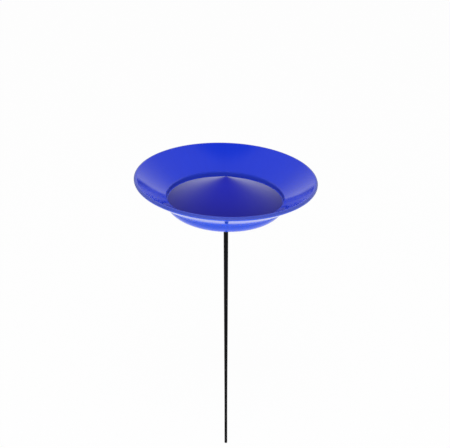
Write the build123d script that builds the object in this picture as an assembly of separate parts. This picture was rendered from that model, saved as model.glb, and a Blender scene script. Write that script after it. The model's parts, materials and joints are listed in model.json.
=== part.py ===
from build123d import *
import math
import os

# Spinning plate on its stick: a moulded dish with a coned floor turns on the tip of a tapered stick.
# Millimetres, +Z up. The origin is the centre of the stick's lower end.
# Profiles are drawn as (radius, height) and turned about the Z axis; the plate is then leaned on the tip.

# Driving dimensions of the stick
STICK_LENGTH = 395.7          # lower end to tip
STICK_BUTT_RADIUS = 1.85      # straight lower end, the part that is pushed into a holder
STICK_BUTT_LENGTH = 60.0
STICK_TOP_RADIUS = 3.4        # where the long taper ends and the nose begins
STICK_NOSE_ANGLE = 20.0       # half angle of the nose, degrees
STICK_TIP_RADIUS = 1.8        # ball at the very top
STICK_END_ROUND = 0.5         # rounded edge of the lower end

# Driving dimensions of the flange, heights counted from the plane that lies on the rim
RIM_RADIUS = 120.0
FLANGE_WALL = 5.3             # heavy flange, its edge is a full round
FLANGE_SLOPE = 34.0           # fall of the upper face at the rim, degrees
FLANGE_DISH_RADIUS = 600.0    # slight hollow of the upper face from rim to mouth

# Driving dimensions of the skirt and the well
NECK_RADIUS = 80.0            # where the flange's underside meets the skirt
NECK_WALL = 3.4               # thickness between the neck and the mouth of the well
NECK_BLEND = 1.5              # hollow fillet under the flange
MOUTH_BLEND = 1.4             # soft edge where the flange drops into the well
SKIRT_HEIGHT = 15.1           # neck down to the foot
SKIRT_TUCK = 11.6             # how far the foot lies inside the neck
SKIRT_ARC_RADIUS = 25.0       # bulge of the skirt, which curls inward to the foot
SKIRT_WALL = 3.2
FOOT_ROUND = 1.0              # rounded edges of the foot
WELL_DROP = 6.3               # mouth down to the root of the cone
WELL_BLEND = 0.8              # fillet in the bottom of the well

# Driving dimensions of the cone in the floor and of the pivot under its point
CONE_ROOT_ANGLE = 25.55       # fall of the floor where it meets the skirt, degrees
CONE_SHOULDER_RADIUS = 2500.0  # slight bulge between the root and the straight cone
CONE_STRAIGHT_RADIUS = 33.0   # the floor is a straight cone inside this radius
CONE_WALL = 2.5
GUTTER_BLEND = 2.0            # fillet in the gutter under the cone, where the tip runs at the start
PIVOT_PAD_DEPTH = 5.4         # point down to the flat pad that carries the cup
PIVOT_PAD_BLEND = 6.0         # fillet from the pad into the cone's underside
PIVOT_CUP_DEPTH = 2.5         # point down to the top of the cup
PIVOT_CUP_RADIUS = 2.4        # ball end of the cup
PIVOT_CUP_ANGLE = 45.0        # half angle of the cup's mouth, degrees
SEAT_GAP = 0.25               # running gap between the tip and the cup
GATE_RADIUS = 1.5             # flat where the moulding was cut from its runner, on the point of the cone
GATE_DIMPLE_RADIUS = 1.0
GATE_DIMPLE_DEPTH = 0.4

# The turning plate leans on the tip, its +X side lower
PLATE_LEAN = 2.0              # degrees


def on_arc(centre, radius, at_radius, side):
    """Point of a circle's upper (side 1) or lower (side -1) half at a distance from the axis."""
    height = centre[1] + side * math.sqrt(radius ** 2 - (at_radius - centre[0]) ** 2)
    return at_radius, height


def toward(start, end, share):
    """Point at a share of the way from one point to another."""
    return tuple(a + share * (b - a) for a, b in zip(start, end))


def arc_centre(start, end, radius):
    """Centre of the circle through two points, on the right hand when going from start to end."""
    run, rise = end[0] - start[0], end[1] - start[1]
    chord = math.hypot(run, rise)
    reach = math.sqrt(radius ** 2 - (chord / 2) ** 2) / chord
    middle = toward(start, end, 0.5)
    return middle[0] + reach * rise, middle[1] - reach * run


def corner(sketch, point):
    """The profile's corner nearest to a point."""
    return min(sketch.vertices(), key=lambda v: math.hypot(v.X - point[0], v.Y - point[1]))


def turned(sketch):
    """Solid of revolution of a (radius, height) profile about the Z axis."""
    return revolve(Plane.XZ * sketch, Axis.Z)


def ball_nose(tip_height, ball_radius, half_angle):
    """Ball on a cone, from the top: tip, a point on the ball, and where the ball meets the cone."""
    angle = math.radians(half_angle)
    middle = (math.pi / 2 + angle) / 2
    ball_height = tip_height - ball_radius
    on_ball = (ball_radius * math.cos(middle), ball_height + ball_radius * math.sin(middle))
    meet = (ball_radius * math.cos(angle), ball_height + ball_radius * math.sin(angle))
    return (0, tip_height), on_ball, meet


def make_stick():
    """Straight butt, long taper, nose and ball tip in one turned profile."""
    tip, on_ball, meet = ball_nose(STICK_LENGTH, STICK_TIP_RADIUS, STICK_NOSE_ANGLE)
    nose_length = (STICK_TOP_RADIUS - meet[0]) / math.tan(math.radians(STICK_NOSE_ANGLE))
    side = Polyline(
        tip,
        (0, 0),
        (STICK_BUTT_RADIUS, 0),
        (STICK_BUTT_RADIUS, STICK_BUTT_LENGTH),
        (STICK_TOP_RADIUS, meet[1] - nose_length),
        meet,
    )
    profile = make_face(side + ThreePointArc(meet, on_ball, tip))
    profile = fillet(corner(profile, (STICK_BUTT_RADIUS, 0)), STICK_END_ROUND)
    return turned(profile)


# Points of the plate's profile that several of its parts share
EDGE_RADIUS = FLANGE_WALL / 2
EDGE_CENTRE = (RIM_RADIUS - EDGE_RADIUS, -EDGE_RADIUS)
FLANGE_TILT = math.radians(FLANGE_SLOPE)
FLANGE_UP = (-math.sin(FLANGE_TILT), math.cos(FLANGE_TILT))
FLANGE_OUT = (math.cos(FLANGE_TILT), math.sin(FLANGE_TILT))
DISH_CENTRE = tuple(e + (FLANGE_DISH_RADIUS + EDGE_RADIUS) * u for e, u in zip(EDGE_CENTRE, FLANGE_UP))
NECK = on_arc(DISH_CENTRE, FLANGE_DISH_RADIUS + FLANGE_WALL, NECK_RADIUS, -1)
MOUTH = on_arc(DISH_CENTRE, FLANGE_DISH_RADIUS, NECK_RADIUS - NECK_WALL, -1)
FOOT = (NECK_RADIUS - SKIRT_TUCK, NECK[1] - SKIRT_HEIGHT)
SKIRT_CENTRE = arc_centre(NECK, FOOT, SKIRT_ARC_RADIUS)
ROOT_HEIGHT = MOUTH[1] - WELL_DROP
ROOT_REACH = math.sqrt((SKIRT_ARC_RADIUS - SKIRT_WALL) ** 2 - (ROOT_HEIGHT - SKIRT_CENTRE[1]) ** 2)
ROOT = (SKIRT_CENTRE[0] + ROOT_REACH, ROOT_HEIGHT)
ROOT_TILT = math.radians(CONE_ROOT_ANGLE)
SHOULDER_UP = (math.sin(ROOT_TILT), math.cos(ROOT_TILT))
SHOULDER_CENTRE = tuple(r - CONE_SHOULDER_RADIUS * u for r, u in zip(ROOT, SHOULDER_UP))
CONE_EDGE = on_arc(SHOULDER_CENTRE, CONE_SHOULDER_RADIUS, CONE_STRAIGHT_RADIUS, 1)
CONE_FALL = (CONE_EDGE[0] - SHOULDER_CENTRE[0]) / (CONE_EDGE[1] - SHOULDER_CENTRE[1])
POINT = (0, CONE_EDGE[1] + CONE_EDGE[0] * CONE_FALL)
CONE_EDGE_UNDER = toward(CONE_EDGE, SHOULDER_CENTRE, CONE_WALL / CONE_SHOULDER_RADIUS)
PAD_HEIGHT = POINT[1] - PIVOT_PAD_DEPTH
PAD_EDGE = (CONE_EDGE_UNDER[0] - (PAD_HEIGHT - CONE_EDGE_UNDER[1]) / CONE_FALL, PAD_HEIGHT)


def flange_and_skirt():
    """Dished flange with a round edge, and the curled skirt that hangs from its neck."""
    edge_top = tuple(e + EDGE_RADIUS * u for e, u in zip(EDGE_CENTRE, FLANGE_UP))
    edge_tip = tuple(e + EDGE_RADIUS * o for e, o in zip(EDGE_CENTRE, FLANGE_OUT))
    edge_low = tuple(e - EDGE_RADIUS * u for e, u in zip(EDGE_CENTRE, FLANGE_UP))
    inner_radius = SKIRT_ARC_RADIUS - SKIRT_WALL
    foot_inside = toward(SKIRT_CENTRE, FOOT, inner_radius / SKIRT_ARC_RADIUS)
    well_side = on_arc(SKIRT_CENTRE, inner_radius, MOUTH[0], -1)
    section = make_face(
        [
            RadiusArc(edge_top, edge_tip, EDGE_RADIUS),
            RadiusArc(edge_tip, edge_low, EDGE_RADIUS),
            RadiusArc(edge_low, NECK, -FLANGE_DISH_RADIUS - FLANGE_WALL),
            RadiusArc(NECK, FOOT, SKIRT_ARC_RADIUS),
            Line(FOOT, foot_inside),
            RadiusArc(foot_inside, well_side, -inner_radius),
            Line(well_side, MOUTH),
            RadiusArc(MOUTH, edge_top, FLANGE_DISH_RADIUS),
        ]
    )
    section = fillet(corner(section, MOUTH), MOUTH_BLEND)
    section = fillet(corner(section, NECK), NECK_BLEND)
    section = fillet(corner(section, FOOT), FOOT_ROUND)
    return fillet(corner(section, foot_inside), FOOT_ROUND)


def cone():
    """Coned floor with the flat pad under its point; its root ends halfway into the skirt."""
    under_radius = CONE_SHOULDER_RADIUS - CONE_WALL
    root_top = on_arc(SHOULDER_CENTRE, CONE_SHOULDER_RADIUS, ROOT[0] + SKIRT_WALL / 2, 1)
    root_low = toward(SHOULDER_CENTRE, root_top, under_radius / CONE_SHOULDER_RADIUS)
    pad_centre = (0, PAD_HEIGHT)
    return make_face(
        [
            Line(POINT, CONE_EDGE),
            RadiusArc(CONE_EDGE, root_top, CONE_SHOULDER_RADIUS),
            Line(root_top, root_low),
            RadiusArc(root_low, CONE_EDGE_UNDER, -under_radius),
            Line(CONE_EDGE_UNDER, PAD_EDGE),
            Line(PAD_EDGE, pad_centre),
            Line(pad_centre, POINT),
        ]
    )


def pivot_cup():
    """Hollow under the point that sits on the stick's tip."""
    tip, on_ball, meet = ball_nose(POINT[1] - PIVOT_CUP_DEPTH, PIVOT_CUP_RADIUS, PIVOT_CUP_ANGLE)
    mouth_radius = meet[0] + (meet[1] - PAD_HEIGHT) * math.tan(math.radians(PIVOT_CUP_ANGLE))
    side = Polyline(tip, (0, PAD_HEIGHT), (mouth_radius, PAD_HEIGHT), meet)
    return make_face(side + ThreePointArc(meet, on_ball, tip))


def gate_mark():
    """Flat on the point of the cone with a shallow dimple, cut from the profile."""
    flat_height = POINT[1] - GATE_RADIUS * CONE_FALL
    ball = (GATE_DIMPLE_RADIUS ** 2 + GATE_DIMPLE_DEPTH ** 2) / (2 * GATE_DIMPLE_DEPTH)
    above = Pos(0, flat_height) * Rectangle(
        2 * GATE_RADIUS, PIVOT_PAD_DEPTH, align=(Align.CENTER, Align.MIN)
    )
    dimple = Pos(0, flat_height - GATE_DIMPLE_DEPTH + ball) * Circle(ball)
    return above + dimple


def make_plate():
    """One moulding: flange, skirt, cone and pivot in one turned profile, set on the tip and leaned."""
    gutter = on_arc(SHOULDER_CENTRE, CONE_SHOULDER_RADIUS - CONE_WALL, ROOT[0] - CONE_WALL / 2, 1)
    profile = flange_and_skirt() + cone()
    profile = fillet(corner(profile, ROOT), WELL_BLEND)
    profile = fillet(corner(profile, gutter), GUTTER_BLEND)
    profile = fillet(corner(profile, PAD_EDGE), PIVOT_PAD_BLEND)
    profile -= pivot_cup()
    profile -= gate_mark()
    tip_to_point = SEAT_GAP + PIVOT_CUP_DEPTH - POINT[1]
    ball_height = STICK_LENGTH - STICK_TIP_RADIUS
    on_ball = Pos(0, 0, STICK_TIP_RADIUS + tip_to_point) * turned(profile)
    return Pos(0, 0, ball_height) * Rot(0, PLATE_LEAN, 0) * on_ball


os.makedirs("parts", exist_ok=True)
export_step(make_stick(), "parts/stick.step")
export_step(make_plate(), "parts/plate.step")
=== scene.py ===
"""Spinning plate on its stick: finishes of the moulded parts, a white studio and the photo's camera."""

import json
import logging
import math
from dataclasses import dataclass
from enum import Enum

import bpy
from mathutils import Matrix, Vector


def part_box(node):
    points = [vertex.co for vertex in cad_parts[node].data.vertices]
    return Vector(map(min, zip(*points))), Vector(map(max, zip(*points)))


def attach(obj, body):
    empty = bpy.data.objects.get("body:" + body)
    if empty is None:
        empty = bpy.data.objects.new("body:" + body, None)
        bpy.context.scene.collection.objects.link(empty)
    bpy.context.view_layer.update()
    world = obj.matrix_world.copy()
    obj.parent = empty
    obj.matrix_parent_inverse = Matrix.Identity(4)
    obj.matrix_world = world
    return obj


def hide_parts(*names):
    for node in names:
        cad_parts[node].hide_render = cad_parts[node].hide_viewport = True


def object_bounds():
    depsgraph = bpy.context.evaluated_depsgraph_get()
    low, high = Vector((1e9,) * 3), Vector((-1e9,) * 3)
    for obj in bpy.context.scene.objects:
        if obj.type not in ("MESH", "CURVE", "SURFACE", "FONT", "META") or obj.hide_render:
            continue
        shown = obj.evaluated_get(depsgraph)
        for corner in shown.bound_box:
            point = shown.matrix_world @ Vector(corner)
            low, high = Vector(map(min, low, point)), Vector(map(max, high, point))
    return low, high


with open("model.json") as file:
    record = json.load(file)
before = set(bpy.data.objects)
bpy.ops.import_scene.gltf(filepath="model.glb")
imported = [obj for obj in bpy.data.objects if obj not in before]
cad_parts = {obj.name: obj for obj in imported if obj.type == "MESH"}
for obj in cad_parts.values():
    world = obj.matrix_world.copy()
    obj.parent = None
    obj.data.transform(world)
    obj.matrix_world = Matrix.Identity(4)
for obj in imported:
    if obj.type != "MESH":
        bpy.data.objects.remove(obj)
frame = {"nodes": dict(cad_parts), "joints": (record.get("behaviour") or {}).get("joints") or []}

CAD_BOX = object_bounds()
LOG = logging.getLogger("spinning_plate")

Tree = bpy.types.NodeTree
Socket = bpy.types.NodeSocket
Span = tuple[float, float]

MM = 0.001                 # scene units are metres
IMAGE_WIDTH = 450          # the photograph's frame, pixels
IMAGE_HEIGHT = 448
WHITE = "#FFFFFF"
WHOLE: Span = (0.0, 1.0)
WAVE_TURN = math.pi / 10   # distance between two crests of Blender's wave pattern at scale 1
FEWEST_STEPS = 4           # of any arc in an outline
MIX_SHARE = 0              # sockets of Blender's mix node when it mixes colours
MIX_FIRST = 6
MIX_SECOND = 7
MIX_RESULT = 2


class Part(Enum):
    """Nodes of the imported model."""

    PLATE = "plate"
    STICK = "stick"


class Lobe(Enum):
    """Kinds of light ray that see the floor as white."""

    CAMERA = "Is Camera Ray"
    GLOSSY = "Is Glossy Ray"
    TRANSMISSION = "Is Transmission Ray"


def linear(hex_colour: str) -> tuple[float, float, float, float]:
    """Turns an sRGB hex colour into linear light, by the formula of the sRGB standard.

    Args:
        hex_colour: Six hex digits with a leading hash sign.

    Returns:
        Red, green, blue and an alpha of one.
    """
    channels = [int(hex_colour[i:i + 2], 16) / 255 for i in (1, 3, 5)]
    low = [c / 12.92 for c in channels]
    high = [((c + 0.055) / 1.055) ** 2.4 for c in channels]
    red, green, blue = (a if c <= 0.04045 else b for c, a, b in zip(channels, low, high))
    return red, green, blue, 1.0


def add_node(tree: Tree, kind: str, settings: dict, links: dict) -> bpy.types.Node:
    """Adds one shader node, sets it up and links its inputs.

    Args:
        tree: Node tree that gets the node.
        kind: Blender's identifier of the node type.
        settings: Node properties by name, and input values by socket name or number.
        links: Output sockets by the name or number of the input that each one feeds.

    Returns:
        The new node.
    """
    node = tree.nodes.new(kind)
    for key, value in settings.items():
        if key in node.bl_rna.properties.keys():
            setattr(node, key, value)
        else:
            node.inputs[key].default_value = value
    for key, output in links.items():
        tree.links.new(output, node.inputs[key])
    return node


def ramp(tree: Tree, value: Socket, span: Span, result: Span = WHOLE, smooth: bool = False) -> Socket:
    """Carries a value from one span over to another, and holds it beyond both ends.

    Args:
        tree: Node tree of the material.
        value: The value.
        span: Values at the start and the end.
        result: What those two become.
        smooth: Whether the ramp eases in and out.

    Returns:
        The new value.
    """
    settings = {
        "interpolation_type": "SMOOTHSTEP" if smooth else "LINEAR",
        "From Min": span[0],
        "From Max": span[1],
        "To Min": result[0],
        "To Max": result[1],
    }
    return add_node(tree, "ShaderNodeMapRange", settings, {"Value": value}).outputs["Result"]


def reckon(tree: Tree, operation: str, *values: Socket | float) -> Socket:
    """Does one step of arithmetic.

    Args:
        tree: Node tree of the material.
        operation: Blender's name of the step.
        values: Sockets or plain numbers, in order.

    Returns:
        The result.
    """
    links = {i: value for i, value in enumerate(values) if isinstance(value, Socket)}
    numbers = {i: value for i, value in enumerate(values) if i not in links}
    return add_node(tree, "ShaderNodeMath", {"operation": operation, **numbers}, links).outputs["Value"]


def mix(tree: Tree, share: Socket, first: Socket | str, second: Socket | str) -> Socket:
    """Mixes two colours.

    Args:
        tree: Node tree of the material.
        share: Share of the second colour.
        first: A colour's socket, or an sRGB hex colour.
        second: The same.

    Returns:
        The mixed colour.
    """
    settings = {"data_type": "RGBA"}
    links = {MIX_SHARE: share}
    for key, colour in ((MIX_FIRST, first), (MIX_SECOND, second)):
        if isinstance(colour, str):
            settings[key] = linear(colour)
        else:
            links[key] = colour
    return add_node(tree, "ShaderNodeMix", settings, links).outputs[MIX_RESULT]


def noise(tree: Tree, place: Socket, size_mm: float, detail: float) -> Socket:
    """Draws soft random patches.

    Args:
        tree: Node tree of the material.
        place: Place on the object.
        size_mm: Size of one patch.
        detail: Number of finer layers.

    Returns:
        Strength of the patches.
    """
    settings = {"Scale": 1 / (size_mm * MM), "Detail": detail}
    return add_node(tree, "ShaderNodeTexNoise", settings, {"Vector": place}).outputs["Fac"]


def upright(tree: Tree, vector: Socket) -> Socket:
    """Takes the Z part of a vector."""
    return add_node(tree, "ShaderNodeSeparateXYZ", {}, {"Vector": vector}).outputs["Z"]


def new_material(name: str) -> bpy.types.Material:
    """Makes a material with an empty node tree.

    Args:
        name: Name of the material.

    Returns:
        The material.
    """
    material = bpy.data.materials.new(name)
    material.use_nodes = True
    material.node_tree.nodes.clear()
    return material


@dataclass(frozen=True)
class Corner:
    """Corner of a turned outline, rounded by an arc, in millimetres."""

    place: Vector        # distance from the axis, and height
    blend: float         # radius of the arc


def tangent_corner(centre: Vector, start: Vector, end: Vector, spare: float) -> Corner:
    """Finds the corner that an arc rounds.

    Args:
        centre: Centre of the arc.
        start: First point of the arc.
        end: Last point of the arc.
        spare: Length kept straight at both ends, for the blends beside the arc.

    Returns:
        The corner where the arc's two tangents meet.
    """
    first, last = start - centre, end - centre
    place = centre + (first + last) * (first.length_squared / (first.length_squared + first.dot(last)))
    return Corner(place, first.length * (1 - spare / (place - start).length))


def rounded(start: Vector, corners: list[Corner], end: Vector, step: float) -> list[tuple[Vector, Vector]]:
    """Walks along an outline, round its corners, with the open air on the left hand.

    Args:
        start: First point, on the axis.
        corners: Corners on the way.
        end: Last point, on the axis.
        step: Largest turn between two points of an arc, radians.

    Returns:
        Points of the outline, each with the direction that its surface faces.
    """
    stops = [start, *(corner.place for corner in corners), end]
    points = [(start, Vector((0, 1)))]
    for before, corner, after in zip(stops, corners, stops[2:]):
        heading = (corner.place - before).normalized()
        leaving = (after - corner.place).normalized()
        turn = math.atan2(heading.x * leaving.y - heading.y * leaving.x, heading.dot(leaving))
        left = Vector((-heading.y, heading.x))
        reach = math.copysign(corner.blend, turn)
        centre = corner.place - heading * corner.blend * math.tan(abs(turn) / 2) + left * reach
        steps = max(FEWEST_STEPS, math.ceil(abs(turn) / step))
        for i in range(steps + 1):
            facing = Matrix.Rotation(turn * i / steps, 2) @ left
            points.append((centre - facing * reach, facing))
    points.append((end, Vector((0, -1))))
    return points


@dataclass(frozen=True)
class BluePolypropylene:
    """Polypropylene, injection-moulded in a lathe-turned tool.

    Gives the eye a deep blue under a soft gloss. The faces that look down are painted a fresher blue:
    painted light in place of the light that comes through the wall. The floor lies over a dark hollow, and
    its darker, more violet colour, deepening towards its root, is painted shade; its blasted tool face
    leaves it satin, with a pale veil of dust at a low angle. The gloss wavers where the wall shrank and
    carries faint rings from the turned tool, and the pigment drifts in streaks that fan out from the gate.
    The rim is scuffed pale, and that greyer tone also paints the light and shade on its round edge; the foot
    is dull from use. A paler ring on the wall of the well is painted light.
    """

    name: str = "polypropylene_blue_moulded_gloss"
    colour: str = "#1437DC"
    streak_colour: str = "#0E2BC6"
    under_light_colour: str = "#0048E0"   # faces that look down, painted a fresher blue in place of light that comes through the wall: painted light
    floor_colour: str = "#0C16B2"   # floor at its point, darker and more violet than the flange: painted shade
    root_shade_colour: str = "#06028C"    # floor at its root, darker still: painted shade
    # scuffed rim and foot; on the rim this greyer tone is partly wear and partly painted light and shade on
    # the round edge, and it also paints the paler ring in the well
    wear_and_painted_light_colour: str = "#4555B9"
    roughness: float = 0.12
    floor_roughness: float = 0.60
    scuff_roughness: float = 0.10   # added where the skin is scuffed
    cloud_roughness: float = 0.05   # spread from the drift of the pigment
    cloud_span: Span = (0.3, 0.7)
    ior: float = 1.49
    sheen: float = 1.00             # veil of fine dust on the satin floor
    sheen_colour: str = "#F0F0FF"
    sheen_roughness: float = 0.36
    under_light_turn: Span = (-0.20, 0.05)     # upward part of the normal between all and none of that painted light
    rim_mm: float = 120.0
    shade_deepening_mm: Span = (15.0, 76.0)    # painted shade: the floor's colour darkens between these distances from the axis
    floor_edge_mm: float = 75.6     # the satin floor ends here, in the bottom of the well
    floor_depth_mm: float = 34.4    # and here, below the pivot
    floor_blend_mm: float = 0.8
    rim_wear_and_light_mm: Span = (3.6, 1.2)      # from the rim, where the wear and the painted light and shade on the round edge set in, and where they are full
    foot_scuff_mm: float = 1.6      # height of the scuffed foot
    foot_depth_mm: float = 43.4     # foot below the pivot
    scuff_mm: float = 1.3           # one scuffed speck
    scuff_detail: float = 4.0
    scuff_rag: float = 0.65         # raggedness of its edge
    scuff_span: Span = (0.50, 0.66)
    scuff_even: float = 0.85        # scuffed all over by this share, and the rest in single scuffs
    well_light_mm: float = 76.3           # painted light: a paler ring on the well's wall, at this distance from the axis
    well_light_reach_mm: float = 2.4
    well_light_share: float = 0.42
    cloud_mm: float = 38.0          # drift of the pigment
    cloud_detail: float = 3.0
    streak_mm: float = 6.0          # width of a flow streak at the rim
    streak_length_mm: float = 55.0
    streak_detail: float = 2.0
    streak_span: Span = (0.35, 0.75)
    streak_share: float = 0.10
    ring_mm: float = 1.6            # tool rings, really about 0.3 mm, drawn coarser to show
    ring_depth_mm: float = 0.001
    shrink_mm: float = 24.0         # slow waves of the shrunk wall
    shrink_detail: float = 1.0
    shrink_depth_mm: float = 0.012
    grain_mm: float = 0.9           # grain of the satin floor, really about 0.1 mm, drawn coarser to show
    grain_detail: float = 2.0
    grain_depth_mm: float = 0.012

    def build(self, pivot: Vector, lean: float) -> bpy.types.Material:
        """Makes the material.

        Args:
            pivot: Point on the plate's axis where it rests on the tip, metres.
            lean: Tilt of the plate's axis about Y, radians.

        Returns:
            The material.
        """
        material = new_material(self.name)
        tree = material.node_tree
        coordinates = add_node(tree, "ShaderNodeTexCoord", {}, {})
        place = add_node(
            tree, "ShaderNodeMapping",
            {"vector_type": "TEXTURE", "Location": pivot, "Rotation": (0, lean, 0)},
            {"Vector": coordinates.outputs["Object"]},
        ).outputs["Vector"]
        flat = add_node(
            tree, "ShaderNodeVectorMath", {"operation": "MULTIPLY", 1: (1, 1, 0)}, {0: place}
        ).outputs["Vector"]
        reach = add_node(tree, "ShaderNodeVectorMath", {"operation": "LENGTH"}, {0: flat}).outputs["Value"]
        height = upright(tree, place)
        cloud = noise(tree, place, self.cloud_mm, self.cloud_detail)
        floor = self.floor_share(tree, reach, height)
        wear_and_painted_light = self.wear_and_painted_light_share(tree, place, reach, height)
        skin = add_node(
            tree, "ShaderNodeBsdfPrincipled",
            {
                "IOR": self.ior,
                "Sheen Roughness": self.sheen_roughness,
                "Sheen Tint": linear(self.sheen_colour),
            },
            {
                "Base Color": self.pigment(tree, reach, self.streaks(tree, flat, reach), floor, wear_and_painted_light),
                "Sheen Weight": ramp(tree, floor, WHOLE, (0.0, self.sheen)),
                "Roughness": self.gloss(tree, cloud, floor, wear_and_painted_light),
                "Normal": self.relief(tree, place, floor),
            },
        )
        add_node(tree, "ShaderNodeOutputMaterial", {}, {"Surface": skin.outputs["BSDF"]})
        return material

    def floor_share(self, tree: Tree, reach: Socket, height: Socket) -> Socket:
        """Marks the coned floor, inside the well.

        Args:
            tree: Node tree of the material.
            reach: Distance from the spin axis.
            height: Height above the pivot.

        Returns:
            One on the floor, nought on the flange and the skirt.
        """
        edge = self.floor_edge_mm * MM
        bottom = -self.floor_depth_mm * MM
        blend = self.floor_blend_mm * MM
        within = ramp(tree, reach, (edge - blend, edge), (1.0, 0.0), smooth=True)
        above = ramp(tree, height, (bottom, bottom + blend), smooth=True)
        return reckon(tree, "MULTIPLY", within, above)

    def wear_and_painted_light_share(self, tree: Tree, place: Socket, reach: Socket, height: Socket) -> Socket:
        """Marks the scuffed rim and foot, with single scuffs in them, and the paler ring of painted light in
        the well.
        On the rim the scuffs also paint the light and shade of its round edge.

        Args:
            tree: Node tree of the material.
            place: Place on the plate.
            reach: Distance from the spin axis.
            height: Height above the pivot.

        Returns:
            One where the scuffs and the painted light are full, nought where the skin is clean.
        """
        wear_start, wear_full = ((self.rim_mm - width) * MM for width in self.rim_wear_and_light_mm)
        foot = -self.foot_depth_mm * MM
        # the rim's scuffs are partly wear and partly painted light and shade on its round edge
        at_rim = ramp(tree, reach, (wear_start, wear_full))
        at_foot = ramp(tree, height, (foot + self.foot_scuff_mm * MM, foot))
        edges = reckon(tree, "MAXIMUM", at_rim, at_foot)
        specks = add_node(
            tree, "ShaderNodeTexNoise",
            {"Scale": 1 / (self.scuff_mm * MM), "Detail": self.scuff_detail, "Roughness": self.scuff_rag},
            {"Vector": place},
        )
        spots = ramp(tree, specks.outputs["Fac"], self.scuff_span, (self.scuff_even, 1.0), smooth=True)
        worn_and_painted = reckon(tree, "MULTIPLY", edges, spots)
        # the paler ring in the well is painted light
        return reckon(tree, "MAXIMUM", worn_and_painted, self.painted_well_light(tree, reach, height))

    def painted_well_light(self, tree: Tree, reach: Socket, height: Socket) -> Socket:
        """Paints a paler ring on the wall of the well: painted light, in place of light reflected there.

        Args:
            tree: Node tree of the material.
            reach: Distance from the spin axis.
            height: Height above the pivot.

        Returns:
            Share of the painted light.
        """
        bottom = -self.floor_depth_mm * MM
        aside = reckon(tree, "SUBTRACT", reach, self.well_light_mm * MM)
        gap = reckon(tree, "ABSOLUTE", aside)
        ring = ramp(tree, gap, (0.0, self.well_light_reach_mm * MM), (self.well_light_share, 0.0))
        above = ramp(tree, height, (bottom, bottom + self.floor_blend_mm * MM))
        return reckon(tree, "MULTIPLY", ring, above)

    def streaks(self, tree: Tree, flat: Socket, reach: Socket) -> Socket:
        """Draws the flow of the plastic, in streaks that run outward from the gate.

        Args:
            tree: Node tree of the material.
            flat: Place on the plate with its height taken out.
            reach: Distance from the spin axis.

        Returns:
            Strength of the streaks, from nought to their full share.
        """
        heading = add_node(tree, "ShaderNodeVectorMath", {"operation": "NORMALIZE"}, {0: flat})
        outward = add_node(tree, "ShaderNodeCombineXYZ", {}, {"Z": reach})
        fan = add_node(
            tree, "ShaderNodeVectorMath", {"operation": "ADD"},
            {0: heading.outputs["Vector"], 1: outward.outputs["Vector"]},
        )
        across = self.rim_mm / self.streak_mm
        along = 1 / (self.streak_length_mm * MM)
        stretched = add_node(
            tree, "ShaderNodeMapping", {"Scale": (across, across, along)}, {"Vector": fan.outputs["Vector"]}
        )
        flow = add_node(
            tree, "ShaderNodeTexNoise", {"Scale": 1.0, "Detail": self.streak_detail},
            {"Vector": stretched.outputs["Vector"]},
        )
        return ramp(tree, flow.outputs["Fac"], self.streak_span, (0.0, self.streak_share))

    def pigment(self, tree: Tree, reach: Socket, streaks: Socket, floor: Socket, wear_and_painted_light: Socket) -> Socket:
        """Mixes the plate's colour, with painted shade on the floor, and painted light on the faces that
        look down, on the rim and in the well.

        Args:
            tree: Node tree of the material.
            reach: Distance from the spin axis.
            streaks: Strength of the flow streaks.
            floor: Share of the coned floor.
            wear_and_painted_light: Share of the scuffs, and of the painted light in the well and on the rim.

        Returns:
            The colour.
        """
        # painted light: faces that look down are coloured a fresher blue, in place of light that comes
        # through the wall
        facing = add_node(tree, "ShaderNodeNewGeometry", {}, {}).outputs["Normal"]
        under = ramp(tree, upright(tree, facing), self.under_light_turn, (1.0, 0.0))
        # painted shade: the floor's colour darkens towards its root, down in the well
        start, end = (distance * MM for distance in self.shade_deepening_mm)
        floor_shade = ramp(tree, reach, (start, end))
        flange = mix(tree, streaks, self.colour, self.streak_colour)
        cone = mix(tree, floor_shade, self.floor_colour, self.root_shade_colour)
        clean = mix(tree, floor, flange, cone)
        # scuffs, and painted light: the paler ring in the well and the light and shade on the rim
        worn_and_painted = mix(tree, wear_and_painted_light, clean, self.wear_and_painted_light_colour)
        return mix(tree, under, worn_and_painted, self.under_light_colour)

    def gloss(self, tree: Tree, cloud: Socket, floor: Socket, wear_and_painted_light: Socket) -> Socket:
        """Works out the roughness: polished flange, satin floor, duller scuffs.

        Args:
            tree: Node tree of the material.
            cloud: Drift of the pigment.
            floor: Share of the coned floor.
            wear_and_painted_light: Share of the scuffs, and of the painted light in the well and on the rim.

        Returns:
            The roughness.
        """
        half = self.cloud_roughness / 2
        face = ramp(tree, floor, WHOLE, (self.roughness, self.floor_roughness))
        drift = ramp(tree, cloud, self.cloud_span, (-half, half))
        uneven = reckon(tree, "ADD", face, drift)
        return reckon(tree, "MULTIPLY_ADD", wear_and_painted_light, self.scuff_roughness, uneven)

    def relief(self, tree: Tree, place: Socket, floor: Socket) -> Socket:
        """Raises the tool rings, the shrink waves and the grain of the satin floor.

        Args:
            tree: Node tree of the material.
            place: Place on the plate.
            floor: Share of the coned floor.

        Returns:
            The bumped normal.
        """
        rings = add_node(
            tree, "ShaderNodeTexWave",
            {"wave_type": "RINGS", "rings_direction": "Z", "Scale": WAVE_TURN / (self.ring_mm * MM)},
            {"Vector": place},
        )
        waves = noise(tree, place, self.shrink_mm, self.shrink_detail)
        grain = noise(tree, place, self.grain_mm, self.grain_detail)
        turned = add_node(
            tree, "ShaderNodeBump", {"Distance": self.ring_depth_mm * MM}, {"Height": rings.outputs["Fac"]}
        )
        shrunk = add_node(
            tree, "ShaderNodeBump", {"Distance": self.shrink_depth_mm * MM},
            {"Height": waves, "Normal": turned.outputs["Normal"]},
        )
        blasted = add_node(
            tree, "ShaderNodeBump", {"Distance": self.grain_depth_mm * MM},
            {"Height": reckon(tree, "MULTIPLY", grain, floor), "Normal": shrunk.outputs["Normal"]},
        )
        return blasted.outputs["Normal"]


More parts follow.
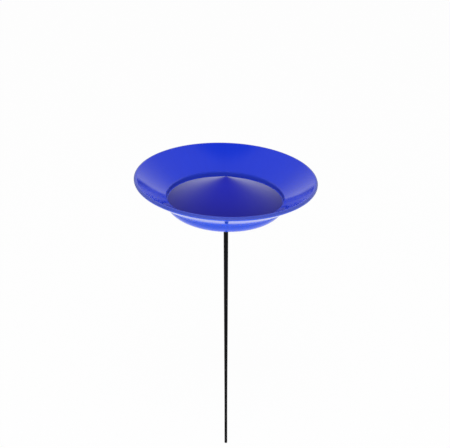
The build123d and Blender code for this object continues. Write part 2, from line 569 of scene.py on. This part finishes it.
@dataclass(frozen=True)
class BlackPolypropylene:
    """Black polypropylene, moulded with a satin skin.

    Gives the eye a near black that takes only a dull, narrow light along its length, broken by fine lines
    from the polished length of the tool, and rubbed grey at the tip and the lower end.
    """

    name: str = "polypropylene_black_moulded_satin"
    colour: str = "#0B0B0C"
    line_colour: str = "#161618"
    rub_colour: str = "#3C3C3E"
    roughness: Span = (0.46, 0.60)  # between the lines and on them
    specular_level: float = 0.05    # carbon black near the surface dulls the skin
    ior: float = 1.49
    line_mm: float = 0.6            # tool lines, really about 0.1 mm, drawn coarser to show
    line_length_mm: float = 70.0
    line_detail: float = 2.0
    line_span: Span = (0.35, 0.70)
    line_depth_mm: float = 0.01
    speck_mm: float = 1.1           # one rubbed speck
    speck_detail: float = 3.0
    speck_span: Span = (0.48, 0.66)
    rubbed_butt_mm: float = 22.0    # length of the rubbed lower end
    rubbed_tip_mm: float = 9.0

    def build(self, length: float) -> bpy.types.Material:
        """Makes the material.

        Args:
            length: Length of the stick, metres.

        Returns:
            The material.
        """
        material = new_material(self.name)
        tree = material.node_tree
        place = add_node(tree, "ShaderNodeTexCoord", {}, {}).outputs["Object"]
        lines = self.tool_lines(tree, place)
        colour = mix(tree, lines, self.colour, self.line_colour)
        relief = add_node(
            tree, "ShaderNodeBump", {"Distance": self.line_depth_mm * MM}, {"Height": lines}
        )
        skin = add_node(
            tree, "ShaderNodeBsdfPrincipled",
            {"IOR": self.ior, "Specular IOR Level": self.specular_level},
            {
                "Base Color": mix(tree, self.rubbing(tree, place, length), colour, self.rub_colour),
                "Roughness": ramp(tree, lines, WHOLE, self.roughness),
                "Normal": relief.outputs["Normal"],
            },
        )
        add_node(tree, "ShaderNodeOutputMaterial", {}, {"Surface": skin.outputs["BSDF"]})
        return material

    def tool_lines(self, tree: Tree, place: Socket) -> Socket:
        """Draws fine lines along the stick.

        Args:
            tree: Node tree of the material.
            place: Place on the stick.

        Returns:
            Strength of the lines.
        """
        across = 1 / (self.line_mm * MM)
        along = 1 / (self.line_length_mm * MM)
        stretched = add_node(
            tree, "ShaderNodeMapping", {"Scale": (across, across, along)}, {"Vector": place}
        )
        drawn = add_node(
            tree, "ShaderNodeTexNoise", {"Scale": 1.0, "Detail": self.line_detail},
            {"Vector": stretched.outputs["Vector"]},
        )
        return ramp(tree, drawn.outputs["Fac"], self.line_span)

    def rubbing(self, tree: Tree, place: Socket, length: float) -> Socket:
        """Marks specks that use has rubbed off the tip and the lower end.

        Args:
            tree: Node tree of the material.
            place: Place on the stick.
            length: Length of the stick, metres.

        Returns:
            One on a rubbed speck, nought elsewhere.
        """
        height = upright(tree, place)
        butt = ramp(tree, height, (self.rubbed_butt_mm * MM, 0.0))
        tip = ramp(tree, height, (length - self.rubbed_tip_mm * MM, length))
        ends = reckon(tree, "MAXIMUM", butt, tip)
        specks = noise(tree, place, self.speck_mm, self.speck_detail)
        spots = ramp(tree, specks, self.speck_span, smooth=True)
        return reckon(tree, "MULTIPLY", ends, spots)


@dataclass
class SpinningPlate:
    """The moulded dish on the tip, spun finely, in millimetres, with heights from the rim's plane."""

    finish: BluePolypropylene = BluePolypropylene()
    sides: int = 224                  # steps of the spin
    arc_step: float = 6.0             # largest turn between two points of an arc, degrees
    rim_radius: float = 120.0
    flange_wall: float = 5.3          # at the rim, which is a full round
    flange_slope: float = 34.0        # fall of the upper face at the rim, degrees
    flange_dish: float = 600.0        # radius of the hollow in the upper face
    under_slope: float = 33.2         # fall of the straight underside, degrees
    neck_radius: float = 80.0         # where the underside meets the skirt
    neck_wall: float = 3.4
    neck_blend: float = 1.5
    mouth_blend: float = 3.0          # upper edge of the well
    foot: Span = (68.4, -44.06)       # outer edge of the foot: distance from the axis, and height
    skirt_arc: float = 25.0           # radius of the skirt's curl
    skirt_wall: float = 3.2
    foot_round: float = 1.0
    root: Span = (75.87, -31.09)      # bottom of the well: distance from the axis, and height
    well_blend: float = 0.8
    point_height: float = 3.92        # of the cone, before the gate is cut
    cone_wall: float = 2.5
    gutter_radius: float = 74.7       # where the skirt meets the cone's underside
    gutter_blend: float = 2.0
    pad_depth: float = 5.4            # point down to the pad
    pad_blend: float = 6.0
    cup_depth: float = 2.5            # point down to the top of the cup
    cup_radius: float = 2.4
    cup_angle: float = 45.0           # half angle of the cup's mouth, degrees
    edge_blend: float = 0.2           # of the small edges at the gate and the cup
    tip_radius: float = 1.8           # ball on the stick
    seat_gap: float = 0.25
    gate_radius: float = 1.5          # flat on the point
    dimple_radius: float = 0.6        # bottom of the dimple in the flat
    dimple_depth: float = 0.4

    def dress(self) -> None:
        """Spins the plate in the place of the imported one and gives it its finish."""
        joint = frame["joints"][0]
        axis = joint["axis"]
        pivot = Vector(joint["pos_m"])
        lean = math.atan2(axis[0], axis[2])
        seat = self.tip_radius + self.seat_gap + self.cup_depth - self.point_height
        leaned = Matrix.Translation(pivot) @ Matrix.Rotation(lean, 4, "Y")
        mesh = self.spin()
        mesh.transform(leaned @ Matrix.Translation((0, 0, seat * MM)))
        material = self.finish.build(pivot, lean)
        mesh.materials.append(material)
        plate = bpy.data.objects.new("plate_moulding", mesh)
        bpy.context.scene.collection.objects.link(plate)
        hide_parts(Part.PLATE.value)
        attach(plate, Part.PLATE.value)
        LOG.info("%s dressed in %s", plate.name, material.name)

    def flange(self) -> tuple[list[Corner], Vector]:
        """Draws the flange from the mouth of the well over the rim to the neck.

        Returns:
            Its corners, with the neck as the last one, and the neck's place.
        """
        half = self.flange_wall / 2
        tilt = math.radians(self.flange_slope)
        under = math.radians(self.under_slope)
        edge = Vector((self.rim_radius - half, -half))
        out = Vector((math.cos(tilt), math.sin(tilt)))
        up = Vector((-math.sin(tilt), math.cos(tilt)))
        dish = edge + up * (self.flange_dish + half)
        mouth_radius = self.neck_radius - self.neck_wall
        drop = math.sqrt(self.flange_dish ** 2 - (mouth_radius - dish.x) ** 2)
        mouth = Vector((mouth_radius, dish.y - drop))
        under_out = Vector((math.cos(under), math.sin(under)))
        under_down = Vector((math.sin(under), -math.cos(under)))
        neck_run = (edge.x + under_down.x * half - self.neck_radius) / under_out.x
        neck = edge + under_down * half - under_out * neck_run
        corners = [
            Corner(mouth, self.mouth_blend),
            tangent_corner(dish, mouth, edge + up * half, self.mouth_blend),
            tangent_corner(edge, edge + up * half, edge + out * half, 0.0),
            tangent_corner(edge, edge + out * half, edge + under_down * half, 0.0),
            Corner(neck, self.neck_blend),
        ]
        return corners, neck

    def skirt(self, neck: Vector) -> list[Corner]:
        """Draws the skirt from the neck round the foot to the gutter under the cone.

        Args:
            neck: Where the skirt hangs from the flange.

        Returns:
            Its corners.
        """
        foot = Vector(self.foot)
        chord = foot - neck
        reach = math.sqrt(self.skirt_arc ** 2 - chord.length_squared / 4) / chord.length
        centre = (neck + foot) / 2 + Vector((chord.y, -chord.x)) * reach
        inner = self.skirt_arc - self.skirt_wall
        inside = centre + (foot - centre) * (inner / self.skirt_arc)
        drop = math.sqrt(inner ** 2 - (self.gutter_radius - centre.x) ** 2)
        gutter = Vector((self.gutter_radius, centre.y - drop))
        return [
            tangent_corner(centre, neck, foot, self.foot_round),
            Corner(foot, self.foot_round),
            Corner(inside, self.foot_round),
            tangent_corner(centre, inside, gutter, self.gutter_blend),
            Corner(gutter, self.gutter_blend),
        ]

    def pivot(self, fall: float) -> list[Corner]:
        """Draws the pad and the cup under the point.

        Args:
            fall: Fall of the cone per unit of its radius.

        Returns:
            The corners.
        """
        pad = self.point_height - self.pad_depth
        under = self.point_height - self.cone_wall * math.hypot(1, fall)
        top = self.point_height - self.cup_depth
        angle = math.radians(self.cup_angle)
        shoulder = self.cup_radius * math.tan((math.pi / 2 - angle) / 2)
        mouth = shoulder + (top - pad) * math.tan(angle)
        return [
            Corner(Vector(((under - pad) / fall, pad)), self.pad_blend),
            Corner(Vector((mouth, pad)), self.edge_blend),
            Corner(Vector((shoulder, top)), self.cup_radius),
        ]

    def outline(self) -> list[tuple[Vector, Vector]]:
        """Draws half of the plate's section, from the gate over the rim and the foot to the cup.

        Returns:
            Points of the outline, each with the direction that its surface faces.
        """
        root = Vector(self.root)
        fall = (self.point_height - root.y) / root.x
        flat = self.point_height - self.gate_radius * fall
        dimple = flat - self.dimple_depth
        gate = [
            Corner(Vector((self.dimple_radius, dimple)), self.edge_blend),
            Corner(Vector((self.dimple_radius + self.dimple_depth, flat)), self.edge_blend),
            Corner(Vector((self.gate_radius, flat)), self.edge_blend),
        ]
        flange, neck = self.flange()
        corners = [*gate, Corner(root, self.well_blend), *flange, *self.skirt(neck), *self.pivot(fall)]
        end = Vector((0, self.point_height - self.cup_depth))
        return rounded(Vector((0, dimple)), corners, end, math.radians(self.arc_step))

    def spin(self) -> bpy.types.Mesh:
        """Turns the outline about the axis.

        Returns:
            The plate's mesh, with the true direction of its surface at every vertex.
        """
        start, *middle, end = self.outline()
        turns = [2 * math.pi * k / self.sides for k in range(self.sides)]
        places, facings = (
            [(p.x * math.cos(t), p.x * math.sin(t), p.y) for p in column for t in turns]
            for column in zip(*middle)
        )
        for place, facing in (start, end):
            places.append((0, 0, place.y))
            facings.append((0, 0, facing.y))
        top = len(middle) * self.sides
        bottom = top + 1
        last = top - self.sides
        faces = []
        for k in range(self.sides):
            after = (k + 1) % self.sides
            faces.append((top, k, after))
            faces.append((bottom, last + after, last + k))
            for ring in range(0, last, self.sides):
                below = ring + self.sides
                faces.append((ring + k, below + k, below + after, ring + after))
        mesh = bpy.data.meshes.new("plate_moulding")
        mesh.from_pydata([Vector(place) * MM for place in places], [], faces)
        mesh.shade_smooth()
        mesh.normals_split_custom_set_from_vertices(facings)
        return mesh


@dataclass
class TaperedStick:
    """The stick under the plate."""

    finish: BlackPolypropylene = BlackPolypropylene()

    def dress(self) -> None:
        """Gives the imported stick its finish."""
        low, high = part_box(Part.STICK.value)
        material = self.finish.build(high[2] - low[2])
        node = frame["nodes"][Part.STICK.value]
        node.data.materials.clear()
        node.data.materials.append(material)
        LOG.info("%s dressed in %s", node.name, material.name)


@dataclass(frozen=True)
class PhotoCamera:
    """Camera at the photograph's viewing angle, placed by the middle of the plate's rim."""

    distance: float = 3.5                 # to the middle of the rim, metres
    elevation: float = 24.324             # of the sight line to the rim's middle, degrees
    rim_height: float = 0.39453           # middle of the rim above the stick's lower end, metres
    rim_pixel: Span = (225.9, 178.9)      # where the photograph has the rim's middle
    pixels_per_mm: float = 0.7682         # at the rim's middle
    sensor: float = 36.0                  # millimetres

    def build(self) -> None:
        """Makes the camera and sets it as the scene's own."""
        focal_pixels = self.pixels_per_mm * self.distance / MM
        data = bpy.data.cameras.new("photo_camera")
        data.sensor_width = self.sensor
        data.lens = focal_pixels * self.sensor / IMAGE_WIDTH
        sight = math.radians(self.elevation)
        below = (IMAGE_HEIGHT / 2 - self.rim_pixel[1]) / focal_pixels
        aim = sight + math.atan(below)
        aside = (self.rim_pixel[0] - IMAGE_WIDTH / 2) / self.pixels_per_mm * MM
        camera = bpy.data.objects.new("photo_camera", data)
        camera.location = (
            -aside,
            -self.distance * math.cos(sight),
            self.rim_height + self.distance * math.sin(sight),
        )
        camera.rotation_euler = (math.pi / 2 - aim, 0, 0)
        bpy.context.scene.collection.objects.link(camera)
        bpy.context.scene.camera = camera
        LOG.info("camera %.1f m from the rim", self.distance)


@dataclass(frozen=True)
class Lamp:
    """Soft rectangular lamp that faces the plate, from the front or from below, and isn't mirrored."""

    name: str
    size: Span                    # width and height, metres
    elevation: float              # above the rim, degrees
    distance: float               # metres
    radiance: float               # brightness of its face, where one is white

    def hang(self) -> None:
        """Makes the lamp."""
        data = bpy.data.lights.new(self.name, "AREA")
        data.shape = "RECTANGLE"
        data.size, data.size_y = self.size
        data.energy = self.radiance * math.pi * data.size * data.size_y
        lamp = bpy.data.objects.new(self.name, data)
        rise = math.radians(self.elevation)
        way = Vector((0, -math.cos(rise), math.sin(rise)))
        lamp.location = Vector((0, 0, CAD_BOX[1].z)) + way * self.distance
        lamp.rotation_euler = way.to_track_quat("Z", "Y").to_euler()
        lamp.visible_camera = False
        lamp.visible_glossy = False
        bpy.context.scene.collection.objects.link(lamp)


@dataclass(frozen=True)
class Studio:
    """White floor, soft light from the front and the floor, and a room that is brightest low at the back."""

    floor_radius: float = 6.0
    floor_sides: int = 96
    floor_white: float = 0.97             # share of the floor that stays white in the shadow
    floor_colour: str = "#F2F2F2"
    front_low: Lamp = Lamp("front_low", (3.4, 1.2), 18.0, 2.5, 1.65)
    front_high: Lamp = Lamp("front_high", (1.4, 1.2), 60.0, 2.5, 7.0)
    floor_glow: Lamp = Lamp("floor_glow", (1.6, 1.6), -90.0, 0.36, 0.55)   # light that the floor throws up
    ambient: float = 0.10                 # brightness of the room
    panel: float = 1.0                    # added by the back wall where it is brightest
    panel_top: float = 0.46               # and further up
    panel_low: Span = (5.0, 9.5)          # elevations between which the back wall brightens, degrees
    panel_high: Span = (8.0, 40.0)        # elevations between which it fades to its upper part
    panel_side: Span = (0.0, 0.10)        # share of the way to the back, from none to all of it

    def build(self) -> None:
        """Makes the floor, the room and the lamps."""
        self.build_floor()
        self.build_room()
        for lamp in (self.front_low, self.front_high, self.floor_glow):
            lamp.hang()
        LOG.info("studio lit")

    def build_floor(self) -> None:
        """Lays a large white disc that keeps the object's shadow and is clear from below."""
        turns = [2 * math.pi * i / self.floor_sides for i in range(self.floor_sides)]
        ring = [(self.floor_radius * math.cos(t), self.floor_radius * math.sin(t), 0) for t in turns]
        mesh = bpy.data.meshes.new("studio_floor")
        mesh.from_pydata(ring, [], [range(self.floor_sides)])
        material = new_material("studio_floor_white_card")
        tree = material.node_tree
        path = add_node(tree, "ShaderNodeLightPath", {}, {})
        share = path.outputs[Lobe.CAMERA.value]
        for lobe in (Lobe.GLOSSY, Lobe.TRANSMISSION):
            share = reckon(tree, "MAXIMUM", share, path.outputs[lobe.value])
        seen = reckon(tree, "MULTIPLY", share, self.floor_white)
        card = add_node(tree, "ShaderNodeBsdfDiffuse", {"Color": linear(self.floor_colour)}, {})
        white = add_node(tree, "ShaderNodeEmission", {"Strength": 1.0}, {})
        lit = add_node(
            tree, "ShaderNodeMixShader", {},
            {0: seen, 1: card.outputs["BSDF"], 2: white.outputs["Emission"]},
        )
        side = add_node(tree, "ShaderNodeNewGeometry", {}, {})
        clear = add_node(tree, "ShaderNodeBsdfTransparent", {}, {})
        sided = add_node(
            tree, "ShaderNodeMixShader", {},
            {0: side.outputs["Backfacing"], 1: lit.outputs["Shader"], 2: clear.outputs["BSDF"]},
        )
        add_node(tree, "ShaderNodeOutputMaterial", {}, {"Surface": sided.outputs["Shader"]})
        mesh.materials.append(material)
        floor = bpy.data.objects.new("studio_floor", mesh)
        bpy.context.scene.collection.objects.link(floor)

    def build_room(self) -> None:
        """Makes the world: dim overall, with a bright back wall that fades upward."""
        world = bpy.data.worlds.new("studio_room")
        bpy.context.scene.world = world
        world.use_nodes = True
        tree = world.node_tree
        tree.nodes.clear()
        way = add_node(tree, "ShaderNodeTexCoord", {}, {})
        parts = add_node(tree, "ShaderNodeSeparateXYZ", {}, {"Vector": way.outputs["Generated"]})
        low, high = (
            [math.sin(math.radians(e)) for e in pair] for pair in (self.panel_low, self.panel_high)
        )
        rise = ramp(tree, parts.outputs["Z"], low, smooth=True)
        fade = ramp(tree, parts.outputs["Z"], high, (self.panel, self.panel_top))
        back = ramp(tree, parts.outputs["Y"], self.panel_side, smooth=True)
        wall = reckon(tree, "MULTIPLY", rise, fade)
        glow = reckon(tree, "MULTIPLY_ADD", wall, back, self.ambient)
        room = add_node(tree, "ShaderNodeBackground", {"Color": linear(WHITE)}, {"Strength": glow})
        add_node(tree, "ShaderNodeOutputWorld", {}, {"Surface": room.outputs["Background"]})


def main() -> None:
    """Builds the set, dresses the parts and reports each piece."""
    logging.basicConfig(level=logging.INFO, format="%(name)s: %(message)s")
    bpy.context.scene.view_settings.view_transform = "Standard"
    PhotoCamera().build()
    Studio().build()
    SpinningPlate().dress()
    TaperedStick().dress()


if __name__ == "__main__":
    main()
